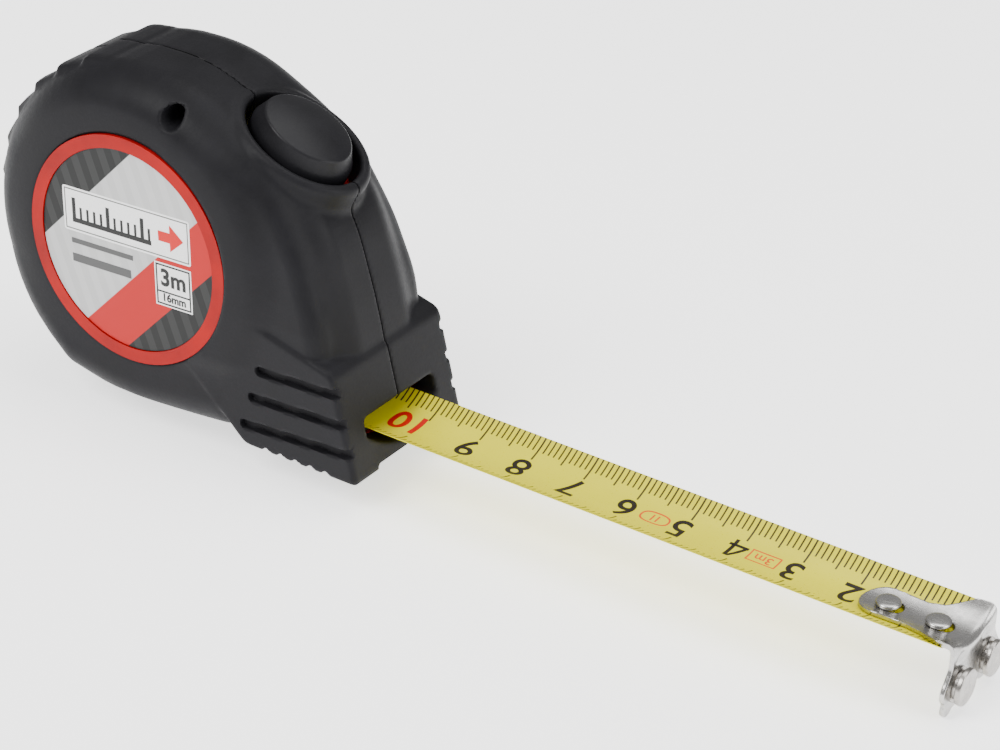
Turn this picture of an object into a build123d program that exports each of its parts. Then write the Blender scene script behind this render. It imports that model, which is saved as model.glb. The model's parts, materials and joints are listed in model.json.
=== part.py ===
"""Pocket tape measure, 3 m long, 16 mm blade, with a magnetic hook and a self-locking brake.

Row frame, in millimetres: the origin is on the flat base, straight below the spool's axis.
+X is the way the blade leaves the case, +Z is up, and the case's right half is on the -Y side.
The blade is drawn part way out, and its hook catches an edge at x = HOOK_X.
"""
import os
from math import cos, radians, sin, sqrt

from build123d import *

os.makedirs("parts", exist_ok=True)

# ---------------------------------------------------------------- driving dimensions
SPOOL_Z = 28.3            # height of the spool's axis above the base
CASE_R = 30.0             # rim radius round the spool
HALF_W = 15.0             # half width of the case over the rubber
SKIN = 1.6                # thickness of the rubber cover
WALL = 2.0                # thickness of the plastic shell
RIM_R = 6.0               # rounding of the case's rim
NOSE_HALF = 9.5           # half width of the nose below the button
FLANK_HALF = 13.4         # half width of the shoulders behind the nose

RING_R = 20.1             # red ring that stands through the rubber
RING_Y = 15.5             # outer face of the ring
LABEL_R = 17.8            # label recess inside the ring
LABEL_DEPTH = 0.5
LABEL_T = 0.25            # printed disc

BLADE_T = 0.13            # steel blade with its paint
BLADE_ARC = 16.0          # width of the blade laid flat
BLADE_R = 13.1            # cross curve of the blade, on its lower face
BLADE_LOW = 4.4           # lowest line of the blade outside the case
CURVED_X = 20.0           # where the blade has taken its full cross curve
COIL_R = 22.3             # outside of the wound blade
COIL_PITCH = 0.30
COIL_LAPS = 11
HOOK_X = 148.0            # inner face of the hook

MOUTH_HALF, MOUTH_TOP = 9.6, 9.6
MOUTH_ARC_R = 14.6        # hollow floor of the mouth, round the centre of the blade's cross curve
MOUTH_X = 40.8            # inner end of the mouth
LINING = 1.2              # rubber round the mouth and in the button's hole

HOOK_T = 0.8              # hook sheet, and so the hook's float
HOOK_FLOAT = 0.8
RIVET_X = (134.2, 142.6)
RIVET_R = 1.2
RIVET_HEAD_R = 2.0
MAGNET_Y, MAGNET_Z, MAGNET_R = 4.75, -0.2, 3.0
MAGNET_STEP = 0.9

SPINDLE_R = 4.0
FIT = 0.05                # radial clearance of every running fit
DRUM_R = 18.6
DRUM_WALL = 0.9
DRUM_HALF = 8.2           # half length of the drum over its cheeks
CHEEK = 0.8

TILT = 25.3               # slope of the button's collar, in degrees
COLLAR_X, COLLAR_Z = 24.3, 50.2
COLLAR_A, COLLAR_B = 12.7, 10.3
COLLAR_DEPTH = 9.6
HOLE_A, HOLE_B = 10.7, 8.6
HOLE_LINING = 4.5         # depth of the rubber in the button's hole
LIP_DEPTH = 6.0           # underside of the shell's lip that holds the button in
BUTTON_A, BUTTON_B = 9.3, 7.4
BUTTON_TOP = 2.6
LUG_A, LUG_B = 11.2, 5.8
STEM_A, STEM_R, STEM_DEPTH = 5.5, 1.8, 8.0
PRESS = 1.8               # travel of the button

PIVOT_X, PIVOT_Z = 31.0, 24.0
PIN_R = 1.25
LEVER_HALF = 5.2
NOSE_TIP_R = 1.5          # rounded end of the lever under the button's stem
NOSE_GAP = 0.3
PAD_X0, PAD_X1 = 33.0, 37.0
PAD_TOP = 7.6

SCREW_X, SCREW_Z = 8.0, 53.6      # the screw in the top shoulder
SCREW_R = 1.1
SCREW_HEAD_R = 1.9
SCREW_SEAT_Y = -5.0
SCREW_LINING_Y = -9.0     # inner end of the rubber in the screw's well
POST_R = 3.6
DOWELS = ((-20.6, 11.0), (-21.2, 45.0))

ARC_Z = BLADE_LOW + BLADE_R       # height of the centre of the blade's cross curve
SIDE = Plane.XZ                   # its normal points to -Y and its y runs along +Z
COLLAR_PLANE = Plane(
    origin=(COLLAR_X, 0, COLLAR_Z),
    x_dir=(cos(radians(TILT)), 0, -sin(radians(TILT))),
    z_dir=(sin(radians(TILT)), 0, cos(radians(TILT))),
)


def side_plane(y):
    """Upright plane across the case at the given y; extruding by a positive amount goes to -Y."""
    return Plane(origin=(0, y, 0), x_dir=(1, 0, 0), z_dir=(0, -1, 0))


def disc(x, z, radius, y0, y1):
    """Round bar along Y between y0 and y1."""
    with BuildPart() as bar:
        with BuildSketch(side_plane(y1)):
            with Locations((x, z)):
                Circle(radius)
        extrude(amount=y1 - y0)
    return bar.part


def oval(a, b, low, high):
    """Oval block square to the collar, between two heights over the collar's face."""
    with BuildPart() as block:
        with BuildSketch(COLLAR_PLANE.offset(low)):
            Ellipse(a, b)
        extrude(amount=high - low)
    return block.part


def finish(node, name):
    """Label a finished piece and write it out."""
    node.part.label = name
    export_step(node.part, f"parts/{name}.step")


# ---------------------------------------------------------------- the case's outer form
NOSE = [(8, 52), (27, 46), (33.2, 41.2), (35.6, 36.5), (38, 29), (41, 19), (42, 12), (8, 12)]
FLANK = [(6, 51), (20, 50.5), (27, 46), (34, 35), (37.6, 26), (38.9, 20), (38.9, 12), (6, 12)]
BUMPER = [(10, 25.2), (22, 24), (35, 20.6), (41.4, 19), (46.7, 0), (24, 0), (10, 12.6)]


def slab(points, half_width, inset, rounding):
    """Block with the given side outline, moved inwards by inset, with a rounded rim."""
    with BuildPart() as block:
        with BuildSketch(SIDE) as outline:
            with BuildLine():
                Polyline(*points, close=True)
            make_face()
            if inset:
                offset(amount=-inset, kind=Kind.INTERSECTION)
            fillet(outline.vertices(), 1.0)
        extrude(amount=half_width - inset, both=True)
        rim = block.edges().group_by(Axis.Y)
        fillet(rim[0] + rim[-1], rounding)
    return block.part


def round_body(inset):
    """The drum-shaped body with its flat base."""
    foot_r = 6.6
    with BuildPart() as block:
        with BuildSketch(SIDE):
            with BuildLine():
                CenterArc((0, SPOOL_Z), CASE_R - inset, 0, 360)
                CenterArc((-12.5, foot_r), foot_r - inset, 0, 360)
                CenterArc((17.0, foot_r), foot_r - inset, 0, 360)
            make_hull()
        extrude(amount=HALF_W - inset, both=True)
        rim = block.edges().group_by(Axis.Y)
        fillet(rim[0] + rim[-1], max(RIM_R - inset, 1.0))
    return block.part


def case_form(inset):
    """The whole case, every face moved inwards by inset."""
    with BuildPart() as form:
        add(round_body(inset))
        add(slab(FLANK, FLANK_HALF, inset, max(3.0 - inset, 0.4)))
        add(slab(NOSE, NOSE_HALF, inset, max(3.4 - inset, 0.4)))
        add(slab(BUMPER, HALF_W + 0.1, inset, 1.0 if inset == 0 else 0.4))
        add(oval(COLLAR_A - inset, COLLAR_B - inset, -COLLAR_DEPTH, -inset))
        split(bisect_by=Plane.XY.offset(inset), keep=Keep.TOP)
    return form.part


outer_form = case_form(0)
shell_form = case_form(SKIN)
inner_form = case_form(SKIN + WALL)


def mouth_form(grow):
    """Bar through the front wall with a hollow floor, larger than the mouth by grow."""
    with BuildPart() as bar:
        with BuildSketch(Plane.YZ.offset(MOUTH_X)):
            with Locations((0, MOUTH_TOP / 2)):
                RectangleRounded(2 * (MOUTH_HALF + grow), MOUTH_TOP + 2 * grow, 0.8)
            with Locations((0, ARC_Z)):
                Circle(MOUTH_ARC_R + grow, mode=Mode.INTERSECT)
        extrude(amount=8)
    return bar.part


mouth = mouth_form(0)                               # opening the blade runs through
with BuildPart() as mouth_lining:
    add(mouth_form(LINING))
    add(outer_form, mode=Mode.INTERSECT)
with BuildPart() as screw_lining:                   # rubber collar in the screw's well
    add(disc(SCREW_X, SCREW_Z, SCREW_HEAD_R + 1.2, -20, SCREW_LINING_Y))
    add(outer_form, mode=Mode.INTERSECT)
button_hole = oval(HOLE_A, HOLE_B, -LIP_DEPTH - 0.01, 2)
hole_lining = oval(HOLE_A + LINING, HOLE_B + LINING, -HOLE_LINING, 0)


# ---------------------------------------------------------------- rubber covers
GROOVES = (((27.0, 14.9), (48.0, 16.2)), ((25.5, 9.6), (48.0, 11.0)), ((23.9, 4.1), (49.0, 6.1)))
GROOVE_WIDTH, GROOVE_DEPTH = 1.5, 1.0
TREAD_X, TREAD_PITCH, TREADS, TREAD_R = 28.3, 3.0, 5, 0.8
CHANNEL_HALF, CHANNEL_DEPTH, CHANNEL_X = 8.2, 1.2, 38.0

with BuildPart() as cover:
    add(outer_form)
    add(shell_form, mode=Mode.SUBTRACT)
    add([mouth_lining.part, screw_lining.part, hole_lining])
    add(disc(0, SPOOL_Z, RING_R, -20, 20), mode=Mode.SUBTRACT)
    add(disc(SCREW_X, SCREW_Z, SCREW_HEAD_R + 0.2, -20, 0), mode=Mode.SUBTRACT)
    add([mouth, button_hole], mode=Mode.SUBTRACT)
    for start, end in GROOVES:                      # grip grooves on both sides of the bumper
        run = Vector(*end) - Vector(*start)
        middle = (Vector(*start) + Vector(*end)) * 0.5
        for face_y, way in ((HALF_W + 0.1, 1), (-HALF_W - 0.1, -1)):
            with BuildSketch(side_plane(face_y)):
                with Locations((middle.X, middle.Y)):
                    SlotCenterToCenter(run.length, GROOVE_WIDTH, rotation=run.get_angle(Vector(1, 0)))
            extrude(amount=way * GROOVE_DEPTH, mode=Mode.SUBTRACT)
    for index in range(TREADS):                     # treads across both skids of the foot
        tread_x = TREAD_X + index * TREAD_PITCH
        add(disc(tread_x, 0, TREAD_R, CHANNEL_HALF + 1, 20), mode=Mode.SUBTRACT)
        add(disc(tread_x, 0, TREAD_R, -20, -CHANNEL_HALF - 1), mode=Mode.SUBTRACT)
    with BuildSketch(Plane.XY):                     # shallow channel between the skids
        with Locations((CHANNEL_X + 5, 0)):
            Rectangle(10, 2 * CHANNEL_HALF)
    extrude(amount=CHANNEL_DEPTH, mode=Mode.SUBTRACT)

with BuildPart() as grip_cover_right:
    add(cover.part)
    split(bisect_by=SIDE, keep=Keep.TOP)
finish(grip_cover_right, "grip_cover_right")

with BuildPart() as grip_cover_left:
    add(cover.part)
    split(bisect_by=SIDE, keep=Keep.BOTTOM)
finish(grip_cover_left, "grip_cover_left")

# ---------------------------------------------------------------- plastic half shells
HUB_POCKET_R = 17.4
HUB_POCKET_Y = 13.0
HUB_R = 6.5
HUB_Y = 8.9
SOCKET_Y = 12.5
RIB_R0, RIB_R1, RIB_Y = 20.5, 24.2, 8.7
PIN_HALF = 11.4

POCKET_FLOOR = -9.4
TUNNEL_HALF = 9.2
RIVET_GROOVE_X, RIVET_GROOVE_HALF, RIVET_GROOVE_LOW = 30.0, 3.3, 3.0

with BuildPart() as posts:                          # screw post and two dowel posts
    for post_x, post_z in (*DOWELS, (SCREW_X, SCREW_Z)):
        add(disc(post_x, post_z, POST_R, -12, 12))
    add(shell_form, mode=Mode.INTERSECT)

with BuildPart() as blade_tunnel:                   # room under the nose for the blade
    with BuildSketch(Plane.XY.offset(SKIN + WALL)):
        with Locations((25, 0)):
            Rectangle(30, 2 * TUNNEL_HALF)
    extrude(amount=MOUTH_TOP - SKIN - WALL)

with BuildPart() as rivet_groove:                   # lets the hook's rivets run in over the floor
    with BuildSketch(Plane.XY.offset(RIVET_GROOVE_LOW)):
        with Locations((RIVET_GROOVE_X + 6, 0)):
            Rectangle(12, 2 * RIVET_GROOVE_HALF)
    extrude(amount=1)

with BuildPart() as shell:
    add(shell_form)
    add(disc(0, SPOOL_Z, RING_R, -RING_Y, RING_Y))
    add(inner_form, mode=Mode.SUBTRACT)
    add(disc(0, SPOOL_Z, HUB_POCKET_R, -HUB_POCKET_Y, HUB_POCKET_Y), mode=Mode.SUBTRACT)
    for sign in (-1, 1):
        lows = sorted((sign * RING_Y, sign * (RING_Y - LABEL_DEPTH)))
        add(disc(0, SPOOL_Z, LABEL_R, *lows), mode=Mode.SUBTRACT)
        hub = sorted((sign * HUB_Y, sign * (HUB_POCKET_Y + 0.5)))
        add(disc(0, SPOOL_Z, HUB_R, *hub))
        rib = sorted((sign * RIB_Y, sign * (HALF_W - SKIN - WALL + 0.5)))
        with BuildSketch(side_plane(rib[1])):
            with Locations((0, SPOOL_Z)):
                Circle(RIB_R1)
                Circle(RIB_R0, mode=Mode.SUBTRACT)
        extrude(amount=rib[1] - rib[0])
    add(disc(0, SPOOL_Z, SPINDLE_R + 0.02, -SOCKET_Y, SOCKET_Y), mode=Mode.SUBTRACT)
    add([mouth_lining.part, mouth, hole_lining, button_hole], mode=Mode.SUBTRACT)
    add(oval(BUTTON_A + 0.6, BUTTON_B + 0.5, POCKET_FLOOR, -LIP_DEPTH), mode=Mode.SUBTRACT)
    add(oval(LUG_A + 0.4, LUG_B + 0.6, POCKET_FLOOR, -LIP_DEPTH), mode=Mode.SUBTRACT)
    add([blade_tunnel.part, rivet_groove.part], mode=Mode.SUBTRACT)
    add(disc(PIVOT_X, PIVOT_Z, PIN_R + 0.02, -PIN_HALF, PIN_HALF), mode=Mode.SUBTRACT)
    add(posts.part)
    add(screw_lining.part, mode=Mode.SUBTRACT)
    add(disc(SCREW_X, SCREW_Z, SCREW_HEAD_R + 0.2, -20, SCREW_SEAT_Y), mode=Mode.SUBTRACT)
    add(disc(SCREW_X, SCREW_Z, SCREW_R + 0.02, SCREW_SEAT_Y - 1, 8), mode=Mode.SUBTRACT)

SPINDLE_SCREW_R, SPINDLE_SCREW_HEAD = 1.3, 2.6
DOWEL_R, DOWEL_LENGTH = 1.2, 3.0

with BuildPart() as case_shell_right:
    add(shell.part)
    split(bisect_by=SIDE, keep=Keep.TOP)
    add(disc(0, SPOOL_Z, SPINDLE_SCREW_HEAD + 0.2, -RING_Y, -13.4), mode=Mode.SUBTRACT)
    add(disc(0, SPOOL_Z, SPINDLE_SCREW_R + 0.1, -RING_Y, -SOCKET_Y), mode=Mode.SUBTRACT)
    for dowel_x, dowel_z in DOWELS:
        add(disc(dowel_x, dowel_z, DOWEL_R, -1, DOWEL_LENGTH))
finish(case_shell_right, "case_shell_right")

with BuildPart() as case_shell_left:
    add(shell.part)
    split(bisect_by=SIDE, keep=Keep.BOTTOM)
    for dowel_x, dowel_z in DOWELS:
        add(disc(dowel_x, dowel_z, DOWEL_R + 0.03, -1, DOWEL_LENGTH + 0.3), mode=Mode.SUBTRACT)
finish(case_shell_left, "case_shell_left")

# ---------------------------------------------------------------- labels and fasteners
for side_name, outer_y in (("right", -RING_Y + LABEL_DEPTH - LABEL_T), ("left", RING_Y - LABEL_DEPTH)):
    with BuildPart() as label:
        add(disc(0, SPOOL_Z, LABEL_R - 0.1, outer_y, outer_y + LABEL_T))
    finish(label, f"label_{side_name}")


def screw(x, z, seat_y, head_r, shank_r, length, head_t):
    """Pan-head screw driven along +Y from its seat, with a cross recess in the head."""
    with BuildPart() as body:
        add(disc(x, z, head_r, seat_y - head_t, seat_y))
        fillet(body.edges().group_by(Axis.Y)[0], head_t * 0.4)
        add(disc(x, z, shank_r, seat_y, seat_y + length))
        with BuildSketch(side_plane(seat_y - head_t * 0.4)):
            with Locations((x, z)):
                Rectangle(head_r * 1.2, head_r * 0.3)
                Rectangle(head_r * 0.3, head_r * 1.2)
        extrude(amount=head_t, mode=Mode.SUBTRACT)
    return body


finish(screw(SCREW_X, SCREW_Z, SCREW_SEAT_Y, SCREW_HEAD_R, SCREW_R, 12.5, 1.3), "case_screw")
finish(screw(0, SPOOL_Z, -13.4, SPINDLE_SCREW_HEAD, SPINDLE_SCREW_R, 8.0, 1.4), "spindle_screw")

# ---------------------------------------------------------------- spindle, drum and springs
SLOT_W = 0.7
with BuildPart() as spindle:
    add(disc(0, SPOOL_Z, SPINDLE_R, -SOCKET_Y + 0.1, SOCKET_Y - 0.1))
    with BuildSketch(side_plane(6)):                # slot that holds the mainspring's inner end
        with Locations((0, SPOOL_Z + SPINDLE_R)):
            Rectangle(SLOT_W, 2 * 2.4)
    extrude(amount=12, mode=Mode.SUBTRACT)
    add(disc(0, SPOOL_Z, SPINDLE_SCREW_R, -SOCKET_Y, -4.5), mode=Mode.SUBTRACT)
finish(spindle, "spindle")

with BuildPart() as drum:
    add(disc(0, SPOOL_Z, DRUM_R, -DRUM_HALF, DRUM_HALF - CHEEK))
    add(disc(0, SPOOL_Z, DRUM_R - DRUM_WALL, -DRUM_HALF + CHEEK, DRUM_HALF), mode=Mode.SUBTRACT)
    add(disc(0, SPOOL_Z, SPINDLE_R + FIT, -DRUM_HALF, DRUM_HALF), mode=Mode.SUBTRACT)
finish(drum, "drum")

with BuildPart() as drum_cover:
    add(disc(0, SPOOL_Z, DRUM_R, DRUM_HALF - CHEEK, DRUM_HALF))
    add(disc(0, SPOOL_Z, DRUM_R - DRUM_WALL - 0.05, DRUM_HALF - CHEEK - 0.8, DRUM_HALF))
    add(disc(0, SPOOL_Z, SPINDLE_R + 4, 0, DRUM_HALF - CHEEK), mode=Mode.SUBTRACT)
    add(disc(0, SPOOL_Z, SPINDLE_R + FIT, 0, DRUM_HALF), mode=Mode.SUBTRACT)
finish(drum_cover, "drum_cover")


def winding(radii, thickness, half_width):
    """Flat band wound inwards: each half lap runs between two radii, from straight below the axis."""
    with BuildPart() as band:
        with BuildSketch(SIDE):
            with BuildLine():
                for shift in (0, thickness):
                    side = -1
                    for first, last in zip(radii, radii[1:]):
                        middle = SPOOL_Z + side * (first - last) / 2
                        CenterArc((0, middle), (first + last) / 2 - shift, side * 90, -180)
                        side = -side
                for radius, end in ((radii[0], -1), (radii[-1], side)):
                    Line((0, SPOOL_Z + end * radius), (0, SPOOL_Z + end * (radius - thickness)))
            make_face()
        extrude(amount=half_width, both=True)
    return band


coil_radii = [COIL_R - COIL_PITCH * half / 2 for half in range(2 * COIL_LAPS + 1)]
finish(winding(coil_radii, 2 * BLADE_T - 0.01, BLADE_ARC / 2), "blade_coil")

SPRING_T, SPRING_HALF = 0.2, 5.5
spring_radii = [DRUM_R - DRUM_WALL - 0.1]
for half in range(22):                              # laps that lie against the drum's wall
    spring_radii.append(spring_radii[-1] - 0.15)
open_drop = (spring_radii[-1] - SPINDLE_R - SPRING_T - 0.1) / 7
for half in range(7):                               # open laps down to the spindle
    spring_radii.append(spring_radii[-1] - open_drop)
with BuildPart() as mainspring:
    add(winding(spring_radii, SPRING_T, SPRING_HALF).part)
    with BuildSketch(SIDE):                         # tail that sits in the spindle's slot
        with Locations((0, SPOOL_Z + 3.2)):
            Rectangle(SPRING_T, 2.2)
    extrude(amount=SPRING_HALF, both=True)
finish(mainspring, "mainspring")

LINER_T, LINER_R = 0.35, 22.8
for side_name, liner_y in (("right", -8.7), ("left", 8.7 - LINER_T)):
    with BuildPart() as liner:
        add(disc(0, SPOOL_Z, LINER_R, liner_y, liner_y + LINER_T))
        add(disc(0, SPOOL_Z, HUB_R + 0.3, liner_y, liner_y + LINER_T), mode=Mode.SUBTRACT)
    finish(liner, f"coil_liner_{side_name}")

# ---------------------------------------------------------------- blade outside the coil
def blade_section(x, radius, low):
    """Thin curved section of the blade across the case at x."""
    turn = BLADE_ARC / 2 / (radius - BLADE_T / 2)
    with BuildSketch(Plane.YZ.offset(x)) as section:
        with BuildLine():
            ends = []
            for r in (radius, radius - BLADE_T):
                y, z = r * sin(turn), low + radius - r * cos(turn)
                ThreePointArc((-y, z), (0, low + radius - r), (y, z))
                ends.append((y, z))
            for side in (-1, 1):
                Line((side * ends[0][0], ends[0][1]), (side * ends[1][0], ends[1][1]))
        make_face()
    return section.sketch


FLAT_R = 400.0                                      # nearly flat where it leaves the coil
with BuildPart() as blade_strip:
    loft(
        [blade_section(0, FLAT_R, SPOOL_Z - COIL_R), blade_section(CURVED_X, BLADE_R, BLADE_LOW)],
        ruled=True,
    )
    extrude(blade_section(CURVED_X, BLADE_R, BLADE_LOW), amount=HOOK_X - 1.6 - CURVED_X)
    with BuildSketch(Plane.XY):
        with Locations(*[(x, 0) for x in RIVET_X]):
            Circle(RIVET_R + FIT)
    extrude(amount=10, mode=Mode.SUBTRACT)
finish(blade_strip, "blade_strip")

# ---------------------------------------------------------------- hook, rivets and magnets
TAB_R = BLADE_R - BLADE_T - 0.03                    # underside of the hook's dished tab
TAB_REAR = 129.6
TAB_TIP_R = 3.9
NECK_HALF = 7.1
CATCH_TOP = 2.9                                     # top of the catch face, under the rivets
EAR_Y, EAR_Z, EAR_R = 7.5, -0.4, 1.7
LOBE_Y, LOBE_Z, LOBE_R = 7.0, -3.3, 1.5
SURROUND_R = 3.9                                    # plate round each magnet


def tab_height(y, radius=TAB_R):
    """Height of the dished tab's face of the given radius at y."""
    return ARC_Z - sqrt(radius**2 - y**2)


with BuildPart() as hook_plate:                     # front plate with ears, lobes and magnet rounds
    with BuildSketch(Plane.YZ.offset(HOOK_X)):
        with Locations((0, 2.6)):
            Rectangle(2 * NECK_HALF, 2 * 3.6)
        with Locations((-MAGNET_Y, MAGNET_Z), (MAGNET_Y, MAGNET_Z)):
            Circle(SURROUND_R)
        with Locations((-EAR_Y, EAR_Z), (EAR_Y, EAR_Z)):
            Circle(EAR_R)
        with Locations((-LOBE_Y, LOBE_Z), (LOBE_Y, LOBE_Z)):
            Circle(LOBE_R)
    extrude(amount=HOOK_T)
    with BuildSketch(Plane.YZ.offset(HOOK_X)):      # the flat catch face ends below the bend
        with Locations((0, CATCH_TOP + 3)):
            Rectangle(20, 6)
    extrude(amount=0.06, mode=Mode.SUBTRACT)

with BuildPart() as hook:
    with BuildSketch(Plane.YZ.offset(TAB_REAR)):    # dished bar, cut to the tab's outline below
        with BuildLine():
            for r in (TAB_R, TAB_R - HOOK_T):
                ThreePointArc(
                    (-NECK_HALF, tab_height(NECK_HALF, r)),
                    (0, ARC_Z - r),
                    (NECK_HALF, tab_height(NECK_HALF, r)),
                )
            for y in (-NECK_HALF, NECK_HALF):
                Line((y, tab_height(y, TAB_R)), (y, tab_height(y, TAB_R - HOOK_T)))
        make_face()
    extrude(amount=HOOK_X + HOOK_T - TAB_REAR)
    with BuildSketch(Plane.XY):                     # rounded rear end, waist and flared neck
        with BuildLine():
            rear = CenterArc((TAB_REAR + TAB_TIP_R, 0), TAB_TIP_R, 90, 180)
            for y in (-1, 1):
                Spline(
                    (TAB_REAR + TAB_TIP_R, y * TAB_TIP_R),
                    (139.5, y * 3.6),
                    (HOOK_X - 3.4, y * (NECK_HALF - 0.6)),
                    (HOOK_X - 1.8, y * NECK_HALF),
                )
                Line((HOOK_X - 1.8, y * NECK_HALF), (HOOK_X + HOOK_T, y * NECK_HALF))
            Line((HOOK_X + HOOK_T, -NECK_HALF), (HOOK_X + HOOK_T, NECK_HALF))
        make_face()
    extrude(amount=12, mode=Mode.INTERSECT)
    with BuildSketch(Plane.XY):                     # slots that let the hook slide by its thickness
        with Locations(*[(x + HOOK_FLOAT / 2, 0) for x in RIVET_X]):
            SlotCenterToCenter(HOOK_FLOAT, 2 * (RIVET_R + FIT))
    extrude(amount=12, mode=Mode.SUBTRACT)
    add(hook_plate.part)
finish(hook, "hook")

with BuildPart() as hook_magnets:
    magnet_x = HOOK_X + HOOK_T
    for radius in (MAGNET_R - 0.5, MAGNET_R):       # neck, then the wider face
        with BuildSketch(Plane.YZ.offset(magnet_x)):
            with Locations((-MAGNET_Y, MAGNET_Z), (MAGNET_Y, MAGNET_Z)):
                Circle(radius)
        extrude(amount=MAGNET_STEP)
        magnet_x += MAGNET_STEP
finish(hook_magnets, "hook_magnets")

HEAD_LOW = tab_height(RIVET_HEAD_R, TAB_R - HOOK_T) + 0.05
HEAD_T = 0.7
WASHER_LOW = BLADE_LOW - 0.75
with BuildPart() as hook_rivets:
    with BuildSketch(Plane.XY.offset(WASHER_LOW - 0.4)):
        with Locations(*[(x, 0) for x in RIVET_X]):
            Circle(RIVET_HEAD_R - 0.2)
    extrude(amount=0.4)
    with BuildSketch(Plane.XY.offset(WASHER_LOW)):
        with Locations(*[(x, 0) for x in RIVET_X]):
            Circle(RIVET_R)
    extrude(amount=HEAD_LOW - WASHER_LOW)
    with BuildSketch(Plane.XY.offset(HEAD_LOW)):
        with Locations(*[(x, 0) for x in RIVET_X]):
            Circle(RIVET_HEAD_R)
    extrude(amount=HEAD_T)
    fillet(hook_rivets.edges().group_by(Axis.Z)[-1], 0.3)
finish(hook_rivets, "hook_rivets")

with BuildPart() as rivet_washer:
    washer_mid = (RIVET_X[0] + RIVET_X[1]) / 2
    with BuildSketch(Plane.XY.offset(WASHER_LOW)):
        with Locations((washer_mid, 0)):
            SlotCenterToCenter(RIVET_X[1] - RIVET_X[0], 5.6)
        with Locations(*[(x, 0) for x in RIVET_X]):
            Circle(RIVET_R + 0.02, mode=Mode.SUBTRACT)
    extrude(amount=0.7)
finish(rivet_washer, "rivet_washer")

# ---------------------------------------------------------------- button and brake
with BuildPart() as button:
    add(oval(BUTTON_A, BUTTON_B, -LIP_DEPTH - 1.3, BUTTON_TOP))
    add(oval(LUG_A, LUG_B, -LIP_DEPTH - 1.3, -LIP_DEPTH - 0.1))
    add(oval(BUTTON_A - 1.3, BUTTON_B - 1.3, -LIP_DEPTH - 1.4, BUTTON_TOP - 2.2), mode=Mode.SUBTRACT)
    rise = Axis((0, 0, 0), COLLAR_PLANE.z_dir)
    fillet(button.edges().group_by(rise)[-1], 1.2)
    with BuildSketch(COLLAR_PLANE.offset(-STEM_DEPTH)):
        with Locations((STEM_A, 0)):
            Circle(STEM_R)
    extrude(amount=STEM_DEPTH + 0.6)
    coil_x, coil_z = PRESS * sin(radians(TILT)), SPOOL_Z + PRESS * cos(radians(TILT))
    add(disc(coil_x, coil_z, COIL_R + 0.5, -20, 20), mode=Mode.SUBTRACT)   # clear of the coil when pressed
finish(button, "button")

nose_tip = COLLAR_PLANE.from_local_coords((STEM_A, 0, -STEM_DEPTH - NOSE_GAP - NOSE_TIP_R))
with BuildPart() as brake_lever:
    with BuildSketch(SIDE):
        with BuildLine():
            CenterArc((PIVOT_X, PIVOT_Z), 2.6, 0, 360)
            CenterArc((nose_tip.X, nose_tip.Z), NOSE_TIP_R, 0, 360)
        make_hull()
    extrude(amount=LEVER_HALF, both=True)
    with BuildSketch(SIDE):
        with BuildLine():
            CenterArc((PIVOT_X, PIVOT_Z), 2.6, 0, 360)
            CenterArc((35.0, 9.2), 1.4, 0, 360)
        make_hull()
    extrude(amount=LEVER_HALF, both=True)
    with BuildSketch(SIDE):
        with Locations(((PAD_X0 + PAD_X1) / 2, PAD_TOP + 0.7)):
            Rectangle(PAD_X1 - PAD_X0, 1.4)
    extrude(amount=LEVER_HALF, both=True)
    add(disc(PIVOT_X, PIVOT_Z, PIN_R + FIT, -20, 20), mode=Mode.SUBTRACT)
finish(brake_lever, "brake_lever")

PAD_GAP, PAD_HALF = 0.12, 6.9
PAD_RELIEF_HALF, PAD_RELIEF_TOP = 4.4, 6.7
with BuildPart() as brake_pad:
    with BuildSketch(Plane.YZ.offset(PAD_X0)):      # rounded feet that fit the hollow of the blade
        with Locations((0, ARC_Z)):
            Circle(BLADE_R - BLADE_T - PAD_GAP)
        with Locations((0, PAD_TOP / 2)):
            Rectangle(2 * PAD_HALF, PAD_TOP, mode=Mode.INTERSECT)
        with Locations((0, PAD_RELIEF_TOP / 2)):    # the hook's tab and rivets run in between them
            Rectangle(2 * PAD_RELIEF_HALF, PAD_RELIEF_TOP, mode=Mode.SUBTRACT)
    extrude(amount=PAD_X1 - PAD_X0)
finish(brake_pad, "brake_pad")

with BuildPart() as lever_pin:
    add(disc(PIVOT_X, PIVOT_Z, PIN_R, -PIN_HALF + 0.1, PIN_HALF - 0.1))
finish(lever_pin, "lever_pin")

with BuildPart() as brake_spring:                   # leaf between the lever's lower arm and the nose
    with BuildSketch(SIDE):
        with BuildLine():
            FilletPolyline((35.2, 23.2), (37.1, 17.4), (36.3, 12.4), radius=2)
        trace(line_width=0.3)
    extrude(amount=3.5, both=True)
finish(brake_spring, "brake_spring")

ANVIL_X0, ANVIL_X1, ANVIL_HALF = 27.6, 40.4, 8.6
with BuildPart() as brake_anvil:
    with BuildSketch(Plane.YZ.offset(ANVIL_X0)):    # saddle under the blade that the pad presses on
        with Locations((0, SKIN + WALL + 1.3)):
            Rectangle(2 * ANVIL_HALF, 2.6)
        with Locations((0, ARC_Z)):
            Circle(BLADE_R + 0.15, mode=Mode.SUBTRACT)
    extrude(amount=ANVIL_X1 - ANVIL_X0)
    with BuildSketch(Plane.XY.offset(RIVET_GROOVE_LOW)):
        with Locations((RIVET_GROOVE_X + 6, 0)):    # groove between its rails for the rivets
            Rectangle(12, 2 * RIVET_GROOVE_HALF)
    extrude(amount=3, mode=Mode.SUBTRACT)
finish(brake_anvil, "brake_anvil")

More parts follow.
